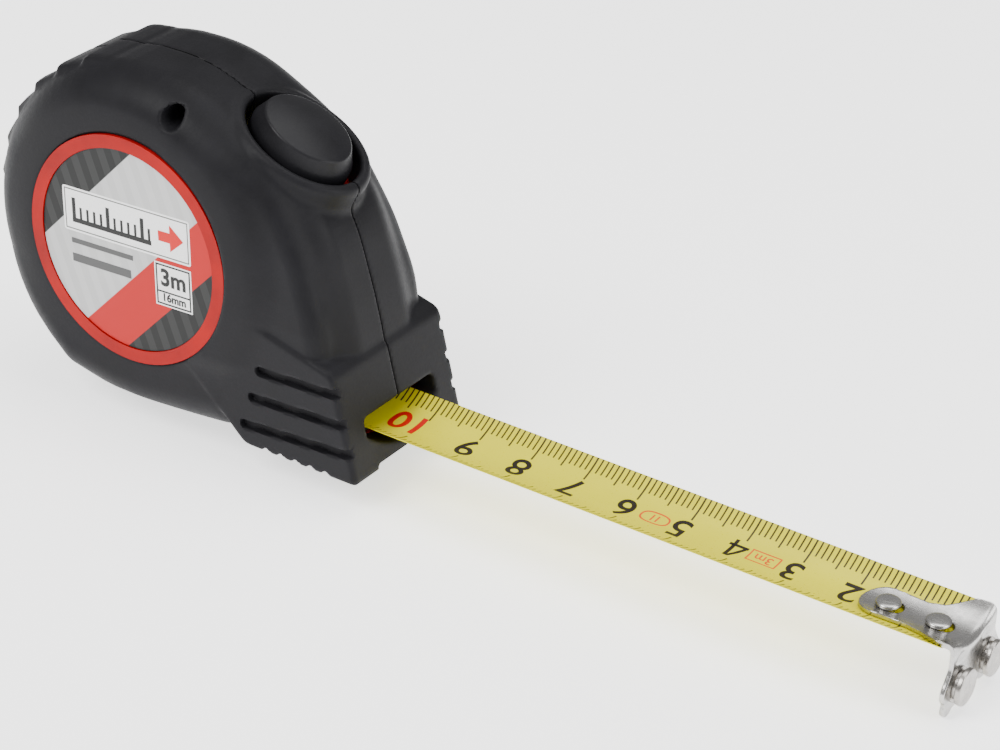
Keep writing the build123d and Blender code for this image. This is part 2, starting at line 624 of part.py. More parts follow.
# Button travel along the collar's normal moves the lever's tip by the same amount: its turn
# in radians is the travel divided by this arm, in millimetres.
tip_arm = nose_tip - Vector(PIVOT_X, 0, PIVOT_Z)
drive_arm = COLLAR_PLANE.z_dir.X * tip_arm.Z - COLLAR_PLANE.z_dir.Z * tip_arm.X
print("brake lever drive arm, mm:", round(drive_arm, 3))
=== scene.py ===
"""Looks of a pocket tape measure: sculpted rubber covers, printed blade, hook, button and labels.

Shapes are worked out in millimetres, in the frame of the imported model, and scaled to metres
when a mesh is made. +X is the way the blade leaves the case, +Z is up, and the side with the
screw faces -Y.
"""

import json
from math import cos, pi, radians, sin

import bmesh
import bpy
import numpy as np
from mathutils import Matrix, Vector

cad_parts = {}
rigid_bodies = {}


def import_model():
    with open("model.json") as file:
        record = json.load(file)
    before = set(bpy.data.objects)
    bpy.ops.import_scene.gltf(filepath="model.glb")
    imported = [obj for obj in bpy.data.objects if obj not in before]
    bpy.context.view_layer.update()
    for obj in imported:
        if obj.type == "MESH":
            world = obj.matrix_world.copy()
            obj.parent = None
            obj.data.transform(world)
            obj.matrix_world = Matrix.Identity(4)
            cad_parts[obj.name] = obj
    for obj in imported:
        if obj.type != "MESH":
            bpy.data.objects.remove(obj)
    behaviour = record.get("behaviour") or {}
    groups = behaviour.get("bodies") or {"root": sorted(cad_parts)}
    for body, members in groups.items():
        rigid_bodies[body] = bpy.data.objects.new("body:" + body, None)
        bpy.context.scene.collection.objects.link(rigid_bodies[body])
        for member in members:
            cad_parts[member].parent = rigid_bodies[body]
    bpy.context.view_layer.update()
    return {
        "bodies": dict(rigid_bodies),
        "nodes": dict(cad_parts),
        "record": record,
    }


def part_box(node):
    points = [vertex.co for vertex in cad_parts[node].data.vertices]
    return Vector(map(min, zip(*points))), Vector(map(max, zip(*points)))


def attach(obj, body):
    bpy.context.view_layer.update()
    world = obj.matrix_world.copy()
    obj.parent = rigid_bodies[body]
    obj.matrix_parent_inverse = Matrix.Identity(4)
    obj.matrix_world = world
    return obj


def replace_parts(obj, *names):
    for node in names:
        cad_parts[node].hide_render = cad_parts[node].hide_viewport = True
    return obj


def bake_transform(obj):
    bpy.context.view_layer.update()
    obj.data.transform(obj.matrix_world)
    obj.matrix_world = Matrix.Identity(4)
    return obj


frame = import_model()

MM = 0.001


def node_box(name):
    """Lowest and highest corner of a CAD node, in millimetres."""
    low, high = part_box(name)
    return np.array(low) / MM, np.array(high) / MM


# ------------------------------------------------------------------ sizes taken from the frame
CASE_LOW, CASE_HIGH = node_box("grip_cover_right")
LABEL_LOW, LABEL_HIGH = node_box("label_right")
BLADE_HIGH = node_box("blade_strip")[1]
HOOK_LOW, HOOK_HIGH = node_box("hook")
MAGNET_LOW, MAGNET_HIGH = node_box("hook_magnets")
RIVET_LOW, RIVET_HIGH = node_box("hook_rivets")

SPOOL_Z = (LABEL_LOW[2] + LABEL_HIGH[2]) / 2        # height of the spool's axis
CASE_R = -CASE_LOW[0]                               # rim radius round the spool
HALF_W = -CASE_LOW[1]                               # half width of the bumper
LABEL_Y = LABEL_LOW[1]                              # outer face of the right label
RING_R = 20.1                                       # red ring that stands through the rubber
SKIN = 1.6                                          # thickness of the rubber
RIM_R = 6.0

HOOK_X = 148.0                                      # zero of the scale, the hook's inner face
HOOK_T = 0.8
BLADE_T = 0.13
BLADE_R = 13.1                                      # cross curve of the blade's lower face
BLADE_ARC = 16.0
BLADE_BOTTOM = 4.4                                  # lowest line of the blade
ARC_Z = BLADE_BOTTOM + BLADE_R

TILT = radians(25.3)                                # slope of the button's collar
COLLAR = np.array([24.3, 0.0, 50.2])
COLLAR_A, COLLAR_B = 12.7, 10.3
HOLE_A, HOLE_B = 10.6, 8.5
REAR_SWELL = 1.8                                    # how far the rear stands past the CAD's plain rim
LINING, HOLE_LINING = 1.2, 6.0                      # rubber round the mouth and the button's hole
MOUTH_X = 40.8                                      # inner end of the mouth
BUTTON_A, BUTTON_B = 9.3, 7.4
SCREW_X, SCREW_Z = 8.0, 53.6
PARTING = 0.06                                      # half of the gap between the two covers


# ------------------------------------------------------------------ distance fields
def rounded(points, radius, steps=4):
    """The outline with each corner turned into a short curve."""
    out = []
    count = len(points)
    for index in range(count):
        corner = np.array(points[index], float)
        ends = []
        for other in (points[index - 1], points[(index + 1) % count]):
            way = np.array(other, float) - corner
            ends.append(corner + way * min(radius / np.linalg.norm(way), 0.45))
        for step in range(steps + 1):
            t = step / steps
            out.append(tuple((1 - t) ** 2 * ends[0] + 2 * t * (1 - t) * corner + t**2 * ends[1]))
    return out


def wrapped(circles, step=5):
    """Outline of a band stretched round some circles, given as (u, v, radius)."""
    out = []
    for angle in range(0, 360, step):
        way = np.array([cos(radians(angle)), sin(radians(angle))])
        u, v, radius = max(circles, key=lambda c: c[0] * way[0] + c[1] * way[1] + c[2])
        out.append((u + radius * way[0], v + radius * way[1]))
    return out


def outline_distance(u, v, points):
    """Signed distance to a closed outline in its plane, negative inside."""
    best = np.full(np.broadcast(u, v).shape, 1e9)
    inside = np.zeros(best.shape, bool)
    for (u0, v0), (u1, v1) in zip(points, points[1:] + points[:1]):
        du, dv = u1 - u0, v1 - v0
        along = np.clip(((u - u0) * du + (v - v0) * dv) / (du * du + dv * dv), 0, 1)
        best = np.minimum(best, (u - u0 - along * du) ** 2 + (v - v0 - along * dv) ** 2)
        if dv != 0:
            inside ^= ((v0 > v) != (v1 > v)) & (u < u0 + (v - v0) * du / dv)
    return np.where(inside, -1.0, 1.0) * np.sqrt(best)


def meet(a, b, radius):
    """Where two fields overlap, with an edge of the given radius."""
    a, b = a + radius, b + radius
    return np.minimum(np.maximum(a, b), 0) + np.hypot(np.maximum(a, 0), np.maximum(b, 0)) - radius


def join(a, b, soft):
    """Both fields together, with a soft fillet between them."""
    near = np.maximum(soft - np.abs(a - b), 0) / soft
    return np.minimum(a, b) - near * near * soft / 4


def cut(a, b, soft=0.3):
    """The first field with the second taken out of it."""
    return -join(-a, b, soft)


def oval_distance(a, b, half_a, half_b):
    """Signed distance to an ellipse, close enough near its edge."""
    share = np.hypot(a / half_a, b / half_b)
    slope = np.hypot(a / half_a**2, b / half_b**2) + 1e-9
    return share * (share - 1) / slope


def bar_distance(u, v, start, end):
    """Distance to a straight line between two points of a plane."""
    du, dv = end[0] - start[0], end[1] - start[1]
    along = np.clip(((u - start[0]) * du + (v - start[1]) * dv) / (du * du + dv * dv), 0, 1)
    return np.hypot(u - start[0] - along * du, v - start[1] - along * dv)


def surface_net(values, low, step):
    """Quad mesh of the zero surface of a field on a grid: one point in each cell it crosses."""
    strides = np.array([values.shape[1] * values.shape[2], values.shape[2], 1])
    cells, places, quads = [], [], []
    for axis in range(3):
        first = [slice(None)] * 3
        second = [slice(None)] * 3
        first[axis], second[axis] = slice(0, -1), slice(1, None)
        a, b = values[tuple(first)], values[tuple(second)]
        index = np.argwhere((a < 0) != (b < 0))
        fa, fb = a[tuple(index.T)], b[tuple(index.T)]
        place = index.astype(float)
        place[:, axis] += fa / (fa - fb)
        back_u, back_v = np.zeros(3, int), np.zeros(3, int)
        back_u[(axis + 1) % 3], back_v[(axis + 2) % 3] = 1, 1
        round_edge = np.stack(
            [(index - shift) @ strides for shift in (0 * back_u, back_u, back_u + back_v, back_v)], 1
        )
        quads.append(np.where((fa < 0)[:, None], round_edge, round_edge[:, ::-1]))
        cells.append(round_edge.ravel())
        places.append(np.repeat(place, 4, axis=0))
    keys, number = np.unique(np.concatenate(cells), return_inverse=True)
    places = np.concatenate(places)
    count = np.bincount(number)
    points = np.stack([np.bincount(number, places[:, k]) / count for k in range(3)], 1)
    return points * step + low, np.searchsorted(keys, np.concatenate(quads))


def sculpt(field, low, high, step):
    """Mesh of a field between two corners, with its points settled on the zero surface."""
    low = np.array(low, float)
    axes = [np.arange(low[k], high[k] + step, step) for k in range(3)]
    values = field(axes[0][:, None, None], axes[1][None, :, None], axes[2][None, None, :])
    points, quads = surface_net(values, low, step)
    reach = step * 0.5
    for _ in range(3):
        value = field(*points.T)
        slope = np.stack(
            [
                (field(*(points + shift).T) - field(*(points - shift).T)) / (0.2 * step)
                for shift in np.eye(3) * 0.1 * step
            ],
            1,
        )
        move = -value[:, None] * slope / np.maximum((slope**2).sum(1), 0.2)[:, None]
        size = np.linalg.norm(move, axis=1, keepdims=True)
        points = points + move * np.minimum(1, reach / np.maximum(size, 1e-9))
    return points, quads


# ------------------------------------------------------------------ meshes
def make_mesh(name, points, faces, materials, sharp=None, smooth=True):
    """Object from points in millimetres and faces, with its materials."""
    mesh = bpy.data.meshes.new(name)
    mesh.from_pydata((np.asarray(points) * MM).tolist(), [], np.asarray(faces).tolist()
                     if isinstance(faces, np.ndarray) else faces)
    mesh.update()
    if smooth:
        mesh.shade_smooth()
        if sharp is not None:
            mesh.set_sharp_from_angle(angle=radians(sharp))
    for material in materials:
        mesh.materials.append(material)
    obj = bpy.data.objects.new(name, mesh)
    bpy.context.scene.collection.objects.link(obj)
    return obj


def lathe(profile, turns, place):
    """Points and faces of a closed turned shape: profile is (radius, height), both ends on the axis."""
    points, faces = [], []
    rings = len(profile)
    for turn in range(turns):
        angle = 2 * pi * turn / turns
        points += [place(r * cos(angle), r * sin(angle), h) for r, h in profile[1:-1]]
    inner = rings - 2
    points += [place(0, 0, profile[0][1]), place(0, 0, profile[-1][1])]
    bottom, top = len(points) - 2, len(points) - 1
    for turn in range(turns):
        here, there = turn * inner, (turn + 1) % turns * inner
        faces.append((bottom, there, here))
        faces += [(here + k, there + k, there + k + 1, here + k + 1) for k in range(inner - 1)]
        faces.append((here + inner - 1, there + inner - 1, top))
    return points, faces


def arc(centre, radius, start, end, steps):
    """Points of an arc in a profile's plane, in degrees."""
    return [
        (
            centre[0] + radius * cos(radians(start + (end - start) * k / steps)),
            centre[1] + radius * sin(radians(start + (end - start) * k / steps)),
        )
        for k in range(steps + 1)
    ]


# ------------------------------------------------------------------ material nodes
class Paint:
    """A Principled material and a short way to write its nodes."""

    def __init__(self, name, **sockets):
        self.material = bpy.data.materials.new(name)
        self.material.use_nodes = True
        self.tree = self.material.node_tree
        self.shader = self.tree.nodes["Principled BSDF"]
        for socket, value in sockets.items():
            self.set(socket.replace("_", " "), value)
        coordinates = self.tree.nodes.new("ShaderNodeTexCoord")
        self.place = self.scaled(coordinates.outputs["Object"], 1 / MM)

    def set(self, socket, value):
        self.feed(self.shader.inputs[socket], value)

    def feed(self, socket, value):
        if isinstance(value, bpy.types.NodeSocket):
            self.tree.links.new(value, socket)
        elif isinstance(value, tuple) and len(value) == 3 and len(socket.default_value) == 4:
            socket.default_value = (*value, 1)
        else:
            socket.default_value = value

    def add(self, kind, inputs, output=0, **settings):
        node = self.tree.nodes.new(kind)
        for name, value in settings.items():
            setattr(node, name, value)
        for key, value in inputs.items():
            self.feed(node.inputs[key], value)
        return node.outputs[output]

    def scaled(self, vector, scale):
        scale = (scale, scale, scale) if not isinstance(scale, tuple) else scale
        return self.add("ShaderNodeVectorMath", {0: vector, 1: scale}, operation="MULTIPLY")

    def split(self, vector):
        node = self.tree.nodes.new("ShaderNodeSeparateXYZ")
        self.feed(node.inputs[0], vector)
        return node.outputs

    def math(self, operation, *values):
        return self.add("ShaderNodeMath", dict(enumerate(values)), operation=operation)

    def mix(self, share, a, b):
        return self.add("ShaderNodeMix", {0: share, 6: a, 7: b}, output=2, data_type="RGBA")

    def span(self, value, low, high, to_low=0.0, to_high=1.0):
        """The value carried from one range to another, held at its ends."""
        return self.add("ShaderNodeMapRange", {0: value, 1: low, 2: high, 3: to_low, 4: to_high})

    def noise(self, size, detail=3.0, stretch=(1, 1, 1), rough=0.55):
        """Cloudy pattern with features of about the given size, in millimetres."""
        vector = self.scaled(self.place, tuple(1 / (size * s) for s in stretch))
        sockets = {"Vector": vector, "Scale": 1.0, "Detail": detail, "Roughness": rough}
        return self.add("ShaderNodeTexNoise", sockets)

    def bump(self, height, depth, strength=1.0):
        """Bumps of the given depth in millimetres."""
        self.set("Normal", self.add(
            "ShaderNodeBump", {"Height": height, "Distance": depth * MM, "Strength": strength}))


def moulded(name, colour, roughness, grain=0.35, depth=0.02, **sockets):
    """Moulded plastic or rubber: fine grain, faint clouds and handling marks."""
    paint = Paint(name, **sockets)
    clouds = paint.noise(9.0, 4)
    fine = paint.noise(grain, 4)
    dark = tuple(c * 0.78 for c in colour)
    light = tuple(min(c * 1.3, 1) for c in colour)
    tone = paint.mix(paint.span(clouds, 0.3, 0.7), dark, light)
    paint.set("Base Color", paint.mix(paint.span(fine, 0.45, 0.8, 0, 0.25), tone, light))
    handled, grained = paint.span(clouds, 0.3, 0.7, -0.05, 0.06), paint.span(fine, 0.3, 0.7, -0.04, 0.04)
    paint.set("Roughness", paint.math("ADD", paint.math("ADD", handled, grained), roughness))
    paint.bump(fine, depth)
    return paint.material


def plated(name, colour, roughness, brush=(14, 1, 1), depth=0.004):
    """Plated steel: brush lines, fine scratches and dull patches."""
    paint = Paint(name, Metallic=1.0)
    lines = paint.noise(0.09, 3, brush)
    patches = paint.noise(2.6, 4)
    scratches = paint.noise(0.12, 2, (1, 26, 9))
    worn = tuple(c * 0.74 for c in colour)
    tone = paint.mix(paint.span(patches, 0.35, 0.7), colour, worn)
    mark = paint.span(scratches, 0.66, 0.72, 0, 0.35)
    paint.set("Base Color", paint.mix(mark, tone, tuple(c * 0.55 for c in colour)))
    brushed, dulled = paint.span(lines, 0.3, 0.7, -0.05, 0.07), paint.span(patches, 0.3, 0.75, -0.04, 0.1)
    paint.set("Roughness", paint.math("ADD", paint.math("ADD", brushed, dulled), roughness))
    paint.bump(lines, depth)
    return paint.material


BLACK = (0.0085, 0.0083, 0.0098)
RUBBER = moulded("rubber", BLACK, 0.5, 0.5, 0.02, Specular_IOR_Level=0.12)
BUTTON_PLASTIC = moulded("button_plastic", BLACK, 0.4, 0.3, 0.01, Specular_IOR_Level=0.16)
RED = moulded("red_plastic", (0.29, 0.0012, 0.0005), 0.45, 0.4, 0.006, Specular_IOR_Level=0.15)
DARK = moulded("dark_plastic", (0.02, 0.02, 0.022), 0.45, 0.4, 0.01)
WHITE = moulded("white_plastic", (0.72, 0.71, 0.66), 0.42, 0.5, 0.008)
LINER = moulded("liner_plastic", (0.6, 0.6, 0.56), 0.5, 0.3, 0.005)
PAD = moulded("pad_rubber", (0.05, 0.05, 0.05), 0.7, 0.4, 0.03)
STEEL = plated("hook_steel", (0.52, 0.51, 0.495), 0.22)
NICKEL = plated("magnet_nickel", (0.42, 0.40, 0.375), 0.24, (1, 1, 1), 0.003)
ZINC = plated("zinc_steel", (0.50, 0.50, 0.51), 0.34, (1, 1, 1))
SPRING = plated("spring_steel", (0.26, 0.28, 0.32), 0.3, (20, 1, 1))


# ------------------------------------------------------------------ blade's print
YELLOW = (0.74, 0.67, 0.006)


def lacquer(name):
    """Yellow lacquer on the steel blade."""
    paint = Paint(name, Specular_IOR_Level=0.3)
    clouds = paint.noise(7.0, 4, (2, 1, 1))
    specks = paint.noise(0.35, 3)
    tone = paint.mix(paint.span(clouds, 0.3, 0.7), tuple(c * 0.93 for c in YELLOW), YELLOW)
    tone = paint.mix(paint.span(specks, 0.62, 0.8, 0, 0.3), tone, (0.64, 0.57, 0.005))
    paint.set("Roughness", paint.span(specks, 0.3, 0.7, 0.26, 0.36))
    paint.bump(specks, 0.003)
    return paint, tone


def scale_print():
    """The lacquer with millimetre marks, which keep their place on the blade as it slides."""
    paint, tone = lacquer("blade_scale")
    coordinates = paint.tree.nodes.new("ShaderNodeTexCoord")
    coordinates.object = frame["bodies"]["blade"]
    x, y, _ = paint.split(paint.scaled(coordinates.outputs["Object"], 1 / MM))
    along = paint.math("SUBTRACT", HOOK_X, x)
    turn = paint.math("ARCSINE", paint.math("DIVIDE", y, BLADE_R))
    across = paint.math("MULTIPLY", turn, BLADE_R)

    def line(period, half):
        """1 on the marks that stand at each multiple of the period."""
        away = paint.math("PINGPONG", along, period / 2)
        return paint.span(away, half - 0.03, half + 0.03, 1.0, 0.0)

    def reach(length, side):
        """1 within a length of the blade's edge on one side."""
        from_edge = paint.math("MULTIPLY_ADD", across, -side, BLADE_ARC / 2)
        return paint.span(from_edge, length - 0.04, length + 0.04, 1.0, 0.0)

    def marks(side, sizes):
        total = None
        for period, half, length in sizes:
            mark = paint.math("MULTIPLY", line(period, half), reach(length, side))
            total = mark if total is None else paint.math("MAXIMUM", total, mark)
        return total

    bold = marks(1, ((1, 0.14, 3.0), (5, 0.15, 3.9), (10, 0.16, 4.9)))
    thin = marks(-1, ((1, 0.12, 3.2), (5, 0.13, 4.0), (10, 0.14, 4.9)))
    tone = paint.mix(bold, tone, (0.03, 0.026, 0.01))
    tone = paint.mix(thin, tone, (0.04, 0.036, 0.012))
    paint.set("Base Color", tone)
    return paint.material


def plain_lacquer():
    paint, tone = lacquer("blade_lacquer")
    paint.set("Base Color", tone)
    return paint.material


def ink(name, colour):
    """Printing ink: a little uneven."""
    paint = Paint(name, Specular_IOR_Level=0.25)
    cover = paint.noise(0.3, 3)
    thin = tuple(c * 1.3 for c in colour)
    paint.set("Base Color", paint.mix(paint.span(cover, 0.4, 0.75, 0, 0.35), colour, thin))
    paint.set("Roughness", paint.span(cover, 0.3, 0.7, 0.3, 0.45))
    return paint.material


SCALE = scale_print()
LACQUER = plain_lacquer()
INK_DARK = ink("ink_dark", (0.014, 0.010, 0.006))
INK_ORANGE = ink("ink_orange", (0.70, 0.07, 0.004))
INK_RED = ink("ink_red", (0.55, 0.004, 0.002))
INK_BLACK = ink("ink_black", (0.008, 0.008, 0.008))
INK_WHITE = ink("ink_white", (0.86, 0.86, 0.85))
INK_GREY = ink("ink_grey", (0.07, 0.07, 0.07))

# ------------------------------------------------------------------ the case's rubber
FOOT_R = 6.6
BODY = wrapped([
    (0, SPOOL_Z, CASE_R), (-REAR_SWELL, SPOOL_Z, CASE_R), (-12.5, FOOT_R, FOOT_R), (17.0, FOOT_R, FOOT_R)])
NOSE = rounded([(8, 52), (27, 46), (33.2, 41.2), (35.6, 36.5), (38, 29), (41, 19), (42, 12), (8, 12)], 3.0)
FLANK = rounded([
    (6, 51), (20, 50.5), (27, 46), (31, 40), (34, 35), (36, 30), (37.6, 26), (38.9, 20), (38.9, 12), (6, 12),
], 4.0)
BUMPER = rounded(
    [(10, 25.2), (22, 24), (35, 20.6), (41.4, 19), (46.7, 0), (24, 0), (10, 12.6)], 1.4)
GROOVES = (((27.0, 14.9), (50.0, 16.2)), ((25.5, 9.6), (50.0, 11.0)), ((23.9, 4.1), (51.0, 6.1)))
GROOVE_HALF, GROOVE_Y = 0.8, HALF_W - 1.1           # half width, and the bottom of the groove
TREADS = [28.3 + 3.0 * index for index in range(5)]
TREAD_R, TREAD_Y = 0.95, 9.2                        # scallops under the front foot, outside this width
CHANNEL_X, CHANNEL_Z, CHANNEL_HALF = 38.0, 1.3, 8.2 # hollow between the two rows of treads
MOUTH_HALF, MOUTH_TOP, MOUTH_ARC_R = 9.6, 9.6, 14.6
MOUTH_DEEP, HOLE_DEEP = 38.5, 7.0                   # inner ends of the cuts for the mouth and the button
WELL_R, WELL_LINING_R, WELL_LINING_Y = 1.85, 3.1, -5.2
SIDE_Y, SIDE_SLOPE = 15.1, 0.022                    # the side falls away from the ring to the rim
NOSE_HALF, FLANK_HALF, FLANK_SLOPE = 9.4, 14.6, 0.075
COLLAR_DEEP = 9.6
RIBS_START, RIBS_END, RIB_PITCH = 106.0, 178.0, 12.0   # degrees round the spool, from +X
RIBS_HALF, RIB_HEIGHT = 10.0, 0.85
RIB_RAMP = 0.8                                      # share of each rib that rises gently


def mouth_distance(y, z, grow=0.0):
    """Opening the blade runs through, with a hollow floor."""
    box = meet(np.abs(y) - MOUTH_HALF - grow, z - MOUTH_TOP - grow, 1.0)
    return np.maximum(box, np.hypot(y, z - ARC_Z) - MOUTH_ARC_R - grow)


def collar_place(x, z):
    """Place along the collar's slope and over its face."""
    a = (x - COLLAR[0]) * cos(TILT) - (z - COLLAR[2]) * sin(TILT)
    c = (x - COLLAR[0]) * sin(TILT) + (z - COLLAR[2]) * cos(TILT)
    return a, c


def rear_ribs(x, y, z):
    """Height of the overlapping grip ribs round the top of the rim behind the button."""
    angle = np.degrees(np.arctan2(z - SPOOL_Z, x))
    along = (angle - RIBS_START) / RIB_PITCH
    tooth = along - np.floor(along)
    rise = np.where(tooth < RIB_RAMP, tooth / RIB_RAMP, (1 - tooth) / (1 - RIB_RAMP))
    inside = np.clip((angle - RIBS_START) / 2, 0, 1) * np.clip((RIBS_END - angle) / 2, 0, 1)
    side = np.clip((RIBS_HALF - np.abs(y)) / 1.2, 0, 1)
    return RIB_HEIGHT * rise * inside * side * side * (3 - 2 * side)


def case_outside(x, y, z):
    """Outer form of the case, without its openings."""
    width = np.abs(y)
    from_axis = np.clip(np.hypot(x, z - SPOOL_Z), 0, CASE_R)
    slope = SIDE_SLOPE * np.clip((z - 6) / 14, 0, 1)
    side = SIDE_Y - slope * np.maximum(from_axis - RING_R, 0) ** 2
    body = meet(outline_distance(x, z, BODY), width - side, RIM_R) - rear_ribs(x, y, z)
    flank_side = FLANK_HALF - FLANK_SLOPE * np.maximum(z - 24, 0)
    flank = meet(outline_distance(x, z, FLANK), width - flank_side, 3.2)
    nose = meet(outline_distance(x, z, NOSE), width - NOSE_HALF, 3.8)
    bumper = meet(outline_distance(x, z, BUMPER), width - HALF_W, 0.9)
    a, c = collar_place(x, z)
    collar = meet(oval_distance(a, y, COLLAR_A, COLLAR_B), np.maximum(c, -c - COLLAR_DEEP), 1.3)
    case = join(body, flank, 4.0)
    case = join(case, nose, 3.0)
    case = join(case, collar, 1.0)
    case = join(case, bumper, 0.4)
    return meet(case, -z, 0.8)


def case_rubber(x, y, z, with_screw):
    """One rubber cover: the skin of the case on the -Y side, with its openings."""
    outside = case_outside(x, y, z)
    width = np.abs(y)
    for start, end in GROOVES:
        groove = bar_distance(x, z, start, end) - GROOVE_HALF
        outside = cut(outside, np.maximum(groove, GROOVE_Y - width), 0.15)
    for tread_x in TREADS:
        scallop = np.maximum(np.hypot(x - tread_x, z) - TREAD_R, TREAD_Y - width)
        outside = cut(outside, scallop, 0.2)
    channel = meet(np.maximum(width - CHANNEL_HALF, CHANNEL_X - x), z - CHANNEL_Z, 0.3)
    outside = cut(outside, channel, 0.4)
    a, c = collar_place(x, z)
    mouth_lining = np.maximum(mouth_distance(y, z, LINING), MOUTH_X - x)
    hole_lining = np.maximum(oval_distance(a, y, HOLE_A + LINING, HOLE_B + LINING), -HOLE_LINING - c)
    well = np.hypot(x - SCREW_X, z - SCREW_Z)
    lining = np.minimum(mouth_lining, hole_lining)
    if with_screw:
        lining = np.minimum(lining, np.maximum(well - WELL_LINING_R, y - WELL_LINING_Y))
    skin = np.maximum(outside, np.minimum(-(outside + SKIN), lining))
    mouth = np.maximum(mouth_distance(y, z), MOUTH_DEEP - x)
    hole = np.maximum(oval_distance(a, y, HOLE_A, HOLE_B), -HOLE_DEEP - c)
    ring = np.maximum(np.hypot(x, z - SPOOL_Z) - RING_R, 8 - width)
    skin = cut(skin, mouth, 0.5)
    skin = cut(skin, hole, 0.9)
    skin = cut(skin, ring, 0.5)
    if with_screw:
        skin = cut(skin, np.maximum(well - WELL_R, y), 0.4)
    return meet(skin, y + PARTING, 0.3)


COVER_STEP = 0.42


def grip_cover(name, side):
    """The rubber cover of one side: -1 is the right half, with the screw, and 1 the left."""
    points, quads = sculpt(
        lambda x, y, z: case_rubber(x, y, z, side < 0),
        (CASE_LOW[0] - REAR_SWELL - 1.5, -HALF_W - 1.2, -1.2),
        (CASE_HIGH[0] + 1.5, 0.8, CASE_HIGH[2] + 1.8), COVER_STEP,
    )
    if side > 0:
        points = points * (1, -1, 1)
        quads = quads[:, ::-1]
    cover = make_mesh(f"{name}_rubber", points, quads, [RUBBER], sharp=50)
    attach(cover, "case")
    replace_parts(cover, name)


grip_cover("grip_cover_right", -1)
grip_cover("grip_cover_left", 1)


# ------------------------------------------------------------------ button
def button_place(a, b, c):
    """Point from its place along and across the collar and over its face."""
    return (
        COLLAR[0] + a * cos(TILT) + c * sin(TILT),
        b,
        COLLAR[2] - a * sin(TILT) + c * cos(TILT),
    )


def push_button():
    """Oval button with a gently domed top."""
    base, rim_c, rim = 1.0, 1.75, 0.87
    profile = [(0, -5.8), (0.9, -5.8), (base, -5.6), (base, -3.0), (base, -0.9)]
    profile += [(base + (rim - base) * t, -0.9 + (rim_c + 0.9) * t) for t in (0.35, 0.7, 0.9)]
    edge_r = 0.07
    for k in range(0, 7):
        angle = radians(10 + 68 * k / 6)
        profile.append((rim - edge_r + edge_r * cos(angle), rim_c + 0.5 * sin(angle)))
    inner = profile[-1][0]
    low = profile[-1][1]
    for k in range(1, 13):
        share = 1 - k / 12
        profile.append((inner * share, low + 0.85 * (1 - share**2)))
    points, faces = lathe(
        profile, 96, lambda u, v, h: button_place(u * BUTTON_A, v * BUTTON_B, h))
    button = make_mesh("button_cap", points, faces, [BUTTON_PLASTIC], sharp=50)
    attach(button, "button")
    return button


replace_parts(push_button(), "button")

# ------------------------------------------------------------------ blade
STRIP_END = BLADE_HIGH[0]
FLAT_END = 8.0                                      # the cross curve is complete from here on


def blade_point(x, across, radius):
    """Point on the blade's cross curve; it flattens towards the coil."""
    grow = min(max(x / FLAT_END, 0.0), 1.0)
    turn = across / BLADE_R
    y = grow * radius * sin(turn) + (1 - grow) * across
    flat_z = 6.0 + (BLADE_R - radius)
    return (x, y, grow * (ARC_Z - radius * cos(turn)) + (1 - grow) * flat_z)


def blade():
    """The curved strip: printed on its hollow side, plain below."""
    stations = list(np.linspace(0, FLAT_END, 5)) + list(np.linspace(FLAT_END, STRIP_END, 60))[1:]
    cross = 24
    points = []
    for x in stations:
        for radius in (BLADE_R - BLADE_T, BLADE_R):
            points += [blade_point(x, BLADE_ARC * (k / cross - 0.5), radius) for k in range(cross + 1)]
    row = 2 * (cross + 1)
    faces, kinds = [], []
    for station in range(len(stations) - 1):
        here, there = station * row, (station + 1) * row
        for k in range(cross):
            faces.append((here + k, there + k, there + k + 1, here + k + 1))
            kinds.append(0)
            low = cross + 1 + k
            faces.append((here + low + 1, there + low + 1, there + low, here + low))
            kinds.append(1)
        for top, flip in ((0, True), (cross, False)):
            loop = (here + top, there + top, there + top + cross + 1, here + top + cross + 1)
            faces.append(loop[::-1] if flip else loop)
            kinds.append(1)
    for base, flip in ((0, True), ((len(stations) - 1) * row, False)):
        loop = [base + k for k in range(cross + 1)] + [base + row - 1 - k for k in range(cross + 1)]
        faces.append(loop[::-1] if not flip else loop)
        kinds.append(1)
    strip = make_mesh("blade_print", points, faces, [SCALE, LACQUER], sharp=40)
    strip.data.polygons.foreach_set("material_index", kinds)
    outward = bmesh.new()
    outward.from_mesh(strip.data)
    bmesh.ops.recalc_face_normals(outward, faces=outward.faces)
    outward.to_mesh(strip.data)
    outward.free()
    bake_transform(strip)
    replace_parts(strip, "blade_strip")


blade()


# ------------------------------------------------------------------ printed marks
def glyphs(text, height, weight):
    """Thin solid mesh of lettering, centred, with capitals of the given height, thickened by a weight."""
    curve = bpy.data.curves.new("lettering", "FONT")
    curve.body = text
    curve.size = height / 0.69
    curve.offset = weight
    curve.extrude = 0.5
    curve.align_x, curve.align_y = "CENTER", "CENTER"
    curve.resolution_u = 6
    carrier = bpy.data.objects.new("lettering", curve)
    bpy.context.scene.collection.objects.link(carrier)
    bpy.context.view_layer.update()
    mesh = bpy.data.meshes.new_from_object(carrier.evaluated_get(bpy.context.evaluated_depsgraph_get()))
    bpy.data.objects.remove(carrier)
    bpy.data.curves.remove(curve)
    return mesh


def bar(u, v, width, height):
    """Corners of an upright rectangle round a centre."""
    return [
        (u - width / 2, v - height / 2), (u + width / 2, v - height / 2),
        (u + width / 2, v + height / 2), (u - width / 2, v + height / 2),
    ]


